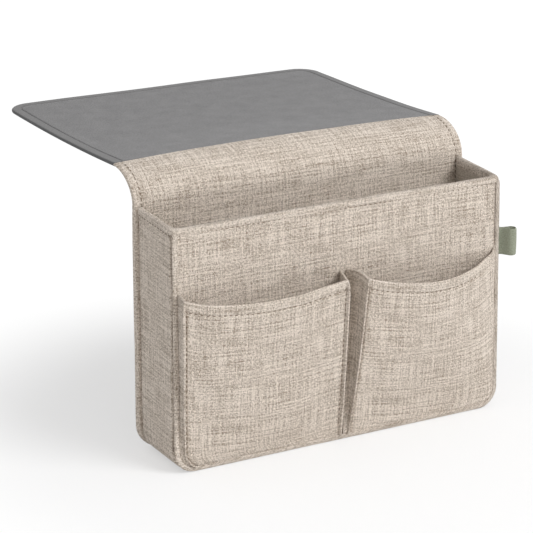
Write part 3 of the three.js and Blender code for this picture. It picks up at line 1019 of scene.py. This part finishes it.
# Where the columns of a pocket lie on its pleats and near the folds of its front
LEFT_PLEAT_SHARES = (0, 0.2, 0.4, 0.6, 0.75, 0.86, 0.93, 0.97, 1.0)
RIGHT_PLEAT_SHARES = (0, 0.03, 0.07, 0.14, 0.25, 0.4, 0.6, 0.8, 0.9, 1.0)
FOLD_SHARES = [0.002, 0.004, 0.007, 0.01, 0.013, 0.016, 0.02, 0.027]
FOOT_STEPS = mm(0, 0.2, 0.5, 0.9, 1.4, 2.0, 2.8, 4, 6, 9)


def smooth(points, share):
    """Point at a share of the way along a Catmull-Rom curve through the points."""
    last = len(points) - 1
    at = clamp(share) * last
    k = min(int(at), last - 1)
    t = at - k
    p1, p2 = points[k], points[k + 1]
    p0 = points[k - 1] if k else p1 * 2 - p2
    p3 = points[k + 2] if k + 2 <= last else p2 * 2 - p1
    squared, cubed = p0 * 2 - p1 * 5 + p2 * 4 - p3, p1 * 3 - p0 - p2 * 3 + p3
    return 0.5 * (p1 * 2 + (p2 - p0) * t + squared * t ** 2 + cubed * t ** 3)


class Pocket:
    """A pleated pocket: its left pleat, front and right pleat are one cloth with a fold on each side."""

    def __init__(self, name):
        self.name = name
        self.ridges = [("panel", end) for end in POCKET_RIDGES[name]]
        rim = [
            Vector((x * HALF, POCKET_FOOT + out * POCKET_DEPTH, up * POCKET_HEIGHT))
            for x, out, up in POCKET_RIM_SHARES[name]
        ]
        for corner in (rim[0], rim[-1]):
            corner.x = max(min(corner.x, HALF - POCKET_EDGE_INSET), POCKET_EDGE_INSET - HALF)
        # The seam between the pockets leans: it lies further left at the foot than at the rim
        self.left_corner = rim[0].x - (SEAM_LEAN if name == "right_pocket" else 0.0)
        self.right_corner = rim[-1].x - (SEAM_LEAN if name == "left_pocket" else 0.0)
        first, last = POCKET_FOLDS[name]
        last += len(rim)
        self.strips = {"left": rim[:first + 1], "panel": rim[first:last + 1], "right": rim[last:]}
        # Columns of (strip, share along it), close together at the folds
        middle = FOLD_SHARES + spread(0.035, 0.965, 0.0156) + [1 - share for share in reversed(FOLD_SHARES)]
        self.panel_columns = [("panel", share) for share in middle]
        self.columns = [("left", share) for share in LEFT_PLEAT_SHARES] + self.panel_columns
        self.columns += [("right", share) for share in RIGHT_PLEAT_SHARES]
        height = POCKET_HEIGHT - POCKET_BASE
        hem = [1 - (POCKET_HEM + d) / height for d in GROOVE_SAMPLES]
        even = spread(POCKET_ROW_START / height, 1.0, POCKET_ROW_STEP / height)
        foot = [step / height for step in FOOT_STEPS]
        self.rows = merged(foot + hem + even, POCKET_ROW_STEP / 10 / height)

    def rim_point(self, column):
        strip, share = column
        return smooth(self.strips[strip], share)

    def foot_x(self, column, rim):
        strip, share = column
        fold = self.left_corner + FOLD_FOOT[self.name]
        if strip == "left":
            return self.left_corner + (fold - self.left_corner) * share
        if strip == "right":
            return self.right_corner
        panel = self.strips["panel"]
        return fold + (self.right_corner - fold) * (rim.x - panel[0].x) / (panel[-1].x - panel[0].x)

    def point(self, column, up):
        """Point of the cloth's outer face at a share of its height."""
        rim = self.rim_point(column)
        opening = up ** BELLY_SHARE
        height = POCKET_BASE + (rim.z - POCKET_BASE) * up
        out = POCKET_FOOT + (rim.y - POCKET_FOOT) * opening
        side = self.foot_x(column, rim)
        side += (rim.x - side) * opening
        side *= panel_half_width(height, SEAM_INSET) / (HALF - SEAM_INSET)
        distance = max(edge_distance(side, height, SEAM_INSET), 0.0)
        cover = POCKET_CLOTH - quarter(distance, COVER_ROUND, COVER_DEPTH)
        out = (out + cover + hypot(out - cover, COVER_BLEND)) / 2
        return Vector((side, FRONT - out, height))

    def normal(self, column, up):
        """Way out of the cloth's outer face."""
        k = self.columns.index(column)
        before = self.columns[max(k - 1, 0)]
        after = self.columns[min(k + 1, len(self.columns) - 1)]
        across = self.point(after, up) - self.point(before, up)
        upward = self.point(column, min(up + 0.01, 1.0)) - self.point(column, max(up - 0.01, 0.0))
        return across.cross(upward).normalized()

    def face(self, column, up):
        """The outer face with its soft unevenness, sewn ridges and grooves, and its normal."""
        base, normal = self.point(column, up), self.normal(column, up)
        down = (1 - up) * (self.rim_point(column).z - POCKET_BASE)
        corner = min((base - self.point(("panel", end), up)).length for end in (0.0, 1.0))
        calm = min(1.0, corner / POCKET_CORNER_CALM) * min(1.0, base.z / POCKET_FOOT_CALM)
        soft = drift(base, POCKET_DRIFT) + drift(base + POCKET_FINE_SHIFT, POCKET_FINE_DRIFT)
        lift = soft * calm * (0.35 + 0.65 * min(1.0, down / POCKET_RIM_CALM))
        lift -= dip(down - POCKET_HEM, HEM_GROOVE_DEPTH, HEM_GROOVE_WIDTH)
        near = min((base - self.point(ridge, up)).length for ridge in self.ridges)
        ridge = RIDGE_PROUD * exp(-((near / RIDGE_WIDTH) ** 4))
        if column[0] == "panel":
            ridge -= dip(near - POCKET_EDGE_STITCH, RIDGE_GROOVE[self.name], RIDGE_GROOVE_WIDTH)
        way = (normal + Vector((0, -RIDGE_FORWARD[self.name], 0))).normalized()
        return base + normal * lift + way * ridge * min(1.0, down / RIDGE_START), normal

    def thickness(self, up, height):
        over = max((1 - up) * height - POCKET_HEM, 0.0)
        return POCKET_CLOTH + (POCKET_HEM_CLOTH - POCKET_CLOTH) * exp(-over / POCKET_HEM_BLEND)

    def ring(self, column):
        """Closed profile: up the outer face, over the hem's round edge and down the inner face."""
        height = self.rim_point(column).z - POCKET_BASE
        outer, inner = [], []
        for up in self.rows:
            place, normal = self.face(column, up)
            outer.append(place)
            inner.append(place - normal * self.thickness(up, height))
        normal, centre = (outer[-1] - inner[-1]).normalized(), (outer[-1] + inner[-1]) / 2
        upward = (outer[-1] - outer[-2]).normalized()
        turns = [pi * i / 7 for i in range(1, 7)]
        radius = POCKET_HEM_CLOTH / 2
        arc = [centre + (normal * cos(a) + upward * sin(a)) * radius for a in turns]
        return outer + arc + inner[::-1]

    def build(self):
        rings = [self.ring(column) for column in self.columns]
        middle = len(rings) // 2, len(self.rows) - 1
        return loft(self.name + "_cloth", rings, LINEN, middle=middle, turned=True)

    def flat_size(self):
        """Width and height of the cut cloth, with the hem that is turned in at its rim."""
        rim = running([self.rim_point(column) for column in self.columns])[-1]
        return rim, POCKET_HEIGHT + POCKET_HEM

    def hem_row(self):
        """Points and normals of the hem's sewn line, from fold to fold."""
        row = []
        for column in self.panel_columns:
            up = 1 - POCKET_HEM / (self.rim_point(column).z - POCKET_BASE)
            place, normal = self.face(column, up)
            row.append((place - normal * THREAD_SINK, normal))
        return row

    def ridge_row(self, ridge):
        """Points and normals of the sewn line beside a ridge, from the hem to the foot."""
        target = self.point(ridge, 0.7)
        lengths = {column: (self.point(column, 0.7) - target).length for column in self.panel_columns}
        nearest = min(self.panel_columns, key=lambda column: abs(lengths[column] - POCKET_EDGE_STITCH))
        ups = spread(1 - RIDGE_STITCH_START / POCKET_HEIGHT, 0.04, 0.02)
        return [self.face(nearest, up) for up in ups]


def add_pockets():
    made = []
    for name in POCKET_RIM_SHARES:
        pocket = Pocket(name)
        cloth = flared(pocket.build())
        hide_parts(f"{name}_panel", f"{name}_left_pleat", f"{name}_right_pleat")
        rows = [pocket.hem_row()] + [pocket.ridge_row(ridge) for ridge in pocket.ridges]
        thread_rows = flared(stitches(f"{name}_stitches", rows))
        for piece in (cloth, thread_rows):
            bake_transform(piece)
        made.append((pocket, cloth, thread_rows))
    return made


# Flap: grey suede over a light board, turned under at its edges, with a sewn line along three sides
FLAP_CORNER = 20 * MM
FLAP_GROOVE_DEPTH = 0.8 * MM
FLAP_GROOVE_WIDTH = 0.6 * MM
FLAP_DISH = 1.8 * MM
FLAP_FULLNESS = 0.5 * MM
FLAP_TWIST = 1.5 * MM
CROWN_RUN = 70 * MM
FLAP_EDGE = (FLAP_THICKNESS + FLAP_FULLNESS) / 2
FLAP_GAP = 0.3 * MM
FLAP_DRIFT = (60 * MM, 0.35 * MM)
FLAP_INNER = 20 * MM
FLAP_FAR_RUN = 24 * MM
FLAP_EDGE_STEPS = mm(0.0, 0.12, 0.3, 0.6, 1.0, 1.65)
FLAP_STRIP_STEPS = mm(2.5, 4.0, 5.5, 6.8, 7.4, 7.8, 8.1, 8.35, 8.5, 8.65, 8.9, 9.2, 9.6, 10.2, 11.5, 14.0)
FLAP_LAST_ROW = 0.02 * MM
FLAP_FAR_STEP = 0.8 * MM
FLAP_BOARD_TOP, FLAP_BOARD_UNDER, FLAP_BOARD_INSET = 0.95 * MM, 1.85 * MM, 2.5 * MM
GRIP_SUNK, GRIP_PROUD, GRIP_INSET = 0.3 * MM, 0.4 * MM, 7 * MM
GRIP_START, GRIP_STEP = 2 * MM, 8 * MM


def flap_half_width(y):
    beyond = y - (FLAP_FAR - FLAP_CORNER)
    if beyond <= 0:
        return HALF_FLAP
    return HALF_FLAP - FLAP_CORNER + sqrt(max(FLAP_CORNER ** 2 - beyond ** 2, 0.0))


def flap_edge_distance(x, y):
    across = abs(x) - (HALF_FLAP - FLAP_CORNER)
    beyond = y - (FLAP_FAR - FLAP_CORNER)
    if across > 0 and beyond > 0:
        return FLAP_CORNER - hypot(across, beyond)
    return min(HALF_FLAP - abs(x), FLAP_FAR - y)


def flap_surface(x, y):
    """Height of the flap's top: crowned at the linen, gently dished and with one far corner raised."""
    share = clamp((y - FLAP_NEAR) / (FLAP_FAR - FLAP_NEAR))
    dish = FLAP_DISH * max(sin(pi * share), 0.0) ** 0.8
    rise = crown(x, 1 - (y - FLAP_NEAR) / CROWN_RUN)
    twist = FLAP_TWIST * (1 - x / HALF_FLAP) / 2 * share * share
    return FLAP_TOP - FLAP_DROP * share - dish + rise + twist


def flap_rows():
    far = [FLAP_FAR - step for step in [FLAP_LAST_ROW] + FLAP_EDGE_STEPS[1:] + FLAP_STRIP_STEPS]
    far += spread(FLAP_FAR - FLAP_FAR_RUN, FLAP_FAR, FLAP_FAR_STEP)
    rows = merged(spread(FLAP_NEAR + FLAP_GAP, FLAP_FAR - FLAP_FAR_RUN, ROW_STEP) + far, 0.1 * MM)
    return [y for y in rows if y < FLAP_FAR - FLAP_LAST_ROW / 2]


def add_flap():
    sides = [HALF_FLAP - inset for inset in FLAP_EDGE_STEPS + FLAP_STRIP_STEPS]
    columns = [-x for x in sides] + spread(FLAP_INNER - HALF_FLAP, HALF_FLAP - FLAP_INNER, CLOTH_STEP)
    rings = []
    for y in flap_rows():
        top, under = [], []
        for x in columns + sides[::-1]:
            x *= flap_half_width(y) / HALF_FLAP
            distance = flap_edge_distance(x, y)
            rounded = quarter(max(distance, 0.0), FLAP_EDGE, FLAP_EDGE)
            groove = dip(distance - FLAP_GROOVE_INSET, FLAP_GROOVE_DEPTH, FLAP_GROOVE_WIDTH)
            surface = flap_surface(x, y)
            top.append(Vector((x, y, surface - groove + drift(Vector((x, y, 0)), FLAP_DRIFT) - rounded)))
            under.append(Vector((x, y, surface - FLAP_THICKNESS - FLAP_FULLNESS + rounded)))
        rings.append(top + under[::-1])
    cloth = loft("flap_suede", rings, SUEDE, middle=(0, len(rings[0]) // 4))
    edge = cloth.data.attributes.new("edge", "FLOAT", "POINT")
    edge.data.foreach_set("value", [flap_edge_distance(v.co.x, v.co.y) for v in cloth.data.vertices])
    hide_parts("flap_top_skin")
    return cloth


def flap_layer(rows, inset, last, step, near, far):
    """Rings of a flat layer under the flap's surface, drawn in by an inset, between two depths."""
    rings = []
    for y in rows:
        width = flap_half_width(min(y + inset, FLAP_FAR - last)) - inset
        xs = [x * width for x in spread(-1.0, 1.0, step)]
        ring = [Vector((x, y, flap_surface(x, y) - near)) for x in xs]
        rings.append(ring + [Vector((x, y, flap_surface(x, y) - far)) for x in reversed(xs)])
    return rings


def add_flap_board():
    rows = spread(FLAP_NEAR + FLAP_BOARD_INSET, FLAP_FAR - FLAP_BOARD_INSET, ROW_STEP)
    rings = flap_layer(rows, FLAP_BOARD_INSET, 0.1 * MM, 0.05, FLAP_BOARD_TOP, FLAP_BOARD_UNDER)
    board = loft("flap_stiffener", rings, GREYBOARD, middle=(0, 10))
    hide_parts("flap_board")
    return board


def add_flap_grip():
    rows = spread(FLAP_NEAR + GRIP_START, FLAP_FAR - GRIP_INSET, GRIP_STEP)
    low = FLAP_THICKNESS + FLAP_FULLNESS
    rings = flap_layer(rows, GRIP_INSET, 1 * MM, 0.06, low - GRIP_SUNK, low + GRIP_PROUD)
    cloth = loft("flap_grip", rings, GRIP, middle=(0, 15))
    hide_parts("flap_grip_skin")
    return cloth


# Side loop: webbing folded in two, sewn into the right end of the front welt
LOOP_LENGTH = 13.5 * MM
LOOP_EYE = 3.2 * MM
LOOP_WEBBING = 1.2 * MM
LOOP_TURN = radians(-35)
LOOP_ROOT = 2.0 * MM
LOOP_BASE, LOOP_TOP = (corner.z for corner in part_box("side_loop"))
LOOP_ARC, LOOP_ARC_STEP = radians(105), radians(7)
LOOP_KNEE = 2.0 * MM
LOOP_ROOT_GAP, LOOP_KNEE_GAP = 0.05 * MM, 0.15 * MM
LOOP_BOW = 0.25 * MM
LOOP_EDGE = 0.6 * MM
LOOP_PROUD = 0.3 * MM
LOOP_RISE = [0, 0.03, 0.09, 0.16] + spread(0.22, 0.78, 0.07) + [0.84, 0.91, 0.97, 1.0]


def loop_path():
    """Middle line of the webbing in plan, out along one layer, round the end and back."""
    half = LOOP_WEBBING / 2
    centre = Vector((LOOP_LENGTH - LOOP_EYE - LOOP_WEBBING, 0, 0))
    turn = [
        centre + Vector((cos(a), sin(a), 0)) * (LOOP_EYE + half)
        for a in spread(-LOOP_ARC, LOOP_ARC, LOOP_ARC_STEP)
    ]
    start = Vector((-LOOP_ROOT, -half - LOOP_ROOT_GAP, 0))
    knee = Vector((LOOP_KNEE, -half - LOOP_KNEE_GAP, 0))
    out = [start, start.lerp(knee, 0.5), knee, knee.lerp(turn[0], 0.35), knee.lerp(turn[0], 0.7)]
    return out + turn + [Vector((p.x, -p.y, 0)) for p in reversed(out)]


def add_side_loop():
    path = loop_path()
    place = Matrix.Translation((HALF + LOOP_WEBBING + LOOP_PROUD, FRONT, 0))
    place = place @ Matrix.Rotation(LOOP_TURN, 4, "Z")
    tall = LOOP_TOP - LOOP_BASE
    rings = []
    for k, point in enumerate(path):
        forward = (path[min(k + 1, len(path) - 1)] - path[max(k - 1, 0)]).normalized()
        side = Vector((forward.y, -forward.x, 0))
        outer, inner = [], []
        for share in LOOP_RISE:
            rise = Vector((0, 0, LOOP_BASE + share * tall))
            edge = min(share, 1 - share) * tall
            rounded = sqrt(max(1 - (1 - min(edge / LOOP_EDGE, 1)) ** 2, 0.04))
            thick = LOOP_WEBBING / 2 * rounded
            bow = LOOP_BOW * sin(pi * share)
            outer.append(point + side * (thick + bow) + rise)
            inner.append(point + side * (bow - thick) + rise)
        rings.append([place @ p for p in outer + inner[::-1]])
    loop = loft("side_loop_webbing", rings, WEBBING)
    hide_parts("side_loop")
    return loop


# Stage
FLOOR_REACH = 8.0
FLOOR_SINK = 0.2 * MM
FLOOR_COLOUR = (0.84, 0.84, 0.84, 1.0)
FLOOR_GLOW = 1.07
FLOOR_GLOW_SHARE = 0.46
# How much more the floor glows away from the box: painted light that lifts its shadow far from it
FLOOR_GLOW_GAIN = 0.44
FLOOR_GLOW_NEAR = 220 * MM
FLOOR_GLOW_FAR = 420 * MM
AMBIENT = 0.685
KEY_PLACE, KEY_AIM = Vector((1.9, -3.3, 3.22)), Vector((0, 0, 0.1))
KEY_SIZE = 2.7
KEY_POWER = 160.0


def add_floor():
    turns = (-1, -1), (1, -1), (1, 1), (-1, 1)
    corners = [Vector((x * FLOOR_REACH, y * FLOOR_REACH, -FLOOR_SINK)) for x, y in turns]
    nodes = Surface("floor", 0.9)
    nodes.shader.inputs["Base Color"].default_value = FLOOR_COLOUR
    glow = nodes.add("Emission", {"Color": WHITE, "Strength": FLOOR_GLOW})
    place = nodes.add("TexCoord").outputs["Object"]
    away = nodes.vector("LENGTH", place)["Value"]
    # Painted light: the floor's glow for the camera grows with distance from the box, so the box's shadow
    # fades away from it
    glow_away_from_box = nodes.ramp(away, FLOOR_GLOW_NEAR, FLOOR_GLOW_FAR)
    glowing = nodes.times(glow_away_from_box, FLOOR_GLOW_GAIN, FLOOR_GLOW_SHARE)
    nodes.output("Material Output", nodes.math("MULTIPLY", nodes.seen(), glowing), nodes.shader, glow)
    mesh_object("floor", corners, [(0, 1, 2, 3)], [[(0.0, 0.0)] * 4], nodes.material)


def add_world():
    world = bpy.data.worlds.new("world")
    bpy.context.scene.world = world
    world.use_nodes = True
    nodes = Nodes(world.node_tree)
    ambient = world.node_tree.nodes["Background"]
    ambient.inputs["Color"].default_value = WHITE
    ambient.inputs["Strength"].default_value = AMBIENT
    white = nodes.add("Background", {"Color": WHITE, "Strength": 1.0})
    nodes.output("World Output", nodes.seen(), ambient, white)


def add_key_lamp():
    data = bpy.data.lights.new("key", "AREA")
    data.shape = "DISK"
    data.size = KEY_SIZE
    data.energy = KEY_POWER
    lamp = bpy.data.objects.new("key", data)
    lamp.location = KEY_PLACE
    lamp.rotation_mode = "QUATERNION"
    lamp.rotation_quaternion = (KEY_PLACE - KEY_AIM).to_track_quat("Z", "Y")
    bpy.context.scene.collection.objects.link(lamp)


def add_stage():
    add_floor()
    add_world()
    add_key_lamp()
    bpy.context.scene.view_settings.view_transform = "Standard"


back_cloth = flared(add_back_cloth())
back_lining = flared(add_back_lining())
band_stitches = flared(stitches("band_stitches", band_stitch_rows()))
for piece in (back_cloth, back_lining, band_stitches):
    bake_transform(piece)

back_binding = add_back_binding()
wall_cloth = add_wall_cloth()
wall_lining = add_wall_lining()
front_cloth = add_front_panel()
front_lining = add_front_lining()
front_welt = add_front_welt()
rim_fold = add_rim_fold()
rim_stitches = stitches("rim_stitches", [rim_stitch_row()])
boards = [
    add_board("front_panel_board", narrow_front),
    add_board("left_side_board", narrow_side),
    add_board("right_side_board", narrow_side),
]
for piece in (
    back_binding, wall_cloth, wall_lining, front_cloth, front_lining, front_welt, rim_fold, rim_stitches,
    *boards,
):
    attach(flared(piece), "box")

pockets = add_pockets()

flap_suede, flap_stiffener, flap_grip = add_flap(), add_flap_board(), add_flap_grip()
for piece in (flap_suede, flap_stiffener, flap_grip):
    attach(piece, "flap")

side_loop = add_side_loop()
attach(side_loop, "loop")

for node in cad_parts.values():
    if not node.hide_render:
        node.data.materials.clear()
        node.data.materials.append(GREYBOARD)

# The cut sizes of the cloth, with what is turned in at the seams
back_run = running([station[0] for station in back_stations()])[-1]
for pocket, cloth, sewn in pockets:
    pocket.flat_size()
running(loop_path())[-1]

add_stage()
